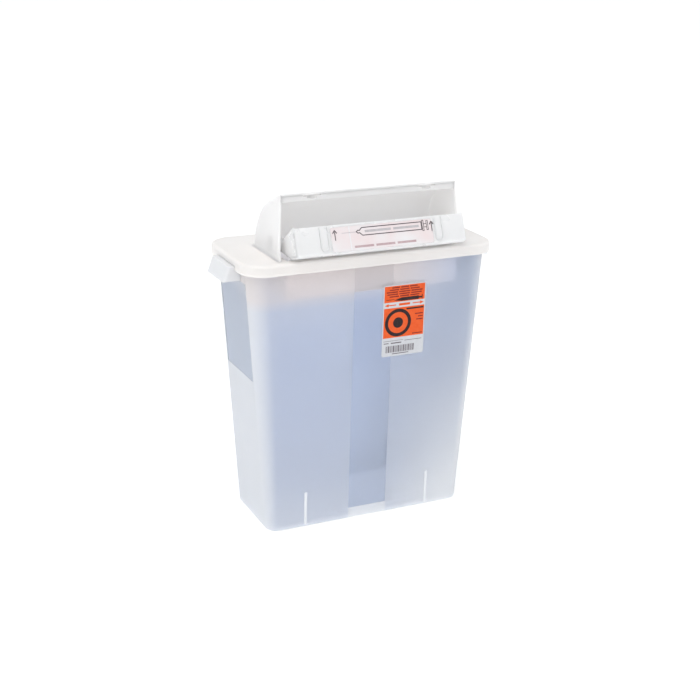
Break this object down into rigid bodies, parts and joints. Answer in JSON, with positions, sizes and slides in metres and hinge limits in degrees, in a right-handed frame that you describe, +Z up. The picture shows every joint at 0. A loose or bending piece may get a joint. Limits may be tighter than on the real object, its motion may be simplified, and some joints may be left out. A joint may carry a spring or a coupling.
{
  "type": "sharps container",
  "caption": "In-room sharps container: see-through tapered tub with grips, push-fit hooded lid and a lift-to-drop tray in the hood's mouth.",
  "frame": {"origin": "middle of the tub's underside, on the surface it stands on", "axes": "+Z up, +X to the right seen from the front, front of the container faces -Y"},
  "size_m": [0.3492, 0.1611, 0.4122],
  "materials": {
    "tub_plastic": "frosted see-through moulded polypropylene with polished clear windows",
    "lid_plastic": "white satin moulded polypropylene",
    "hood_plastic": "milky satin moulded polypropylene",
    "tray_plastic": "clear, slightly blue moulded plastic",
    "pin_plastic": "natural white moulded plastic",
    "film_print": "clear printed film",
    "label_print": "printed self-adhesive label, orange and white"
  },
  "bodies": {
    "container": {"container_body": "tub_plastic", "lid_deck": "lid_plastic", "hood": "hood_plastic", "throat_chute": "lid_plastic", "front_label": "label_print"},
    "tray": {"drop_tray": "tray_plastic", "tray_film": "film_print", "pivot_pin_left": "pin_plastic", "pivot_pin_right": "pin_plastic"}
  },
  "joints": [
    {"name": "tray_tip", "type": "hinge", "parent": "container", "child": "tray", "pos_m": [0, -0.027, 0.353], "axis": [-1, 0, 0], "range_deg": [0, 37]}
  ]
}
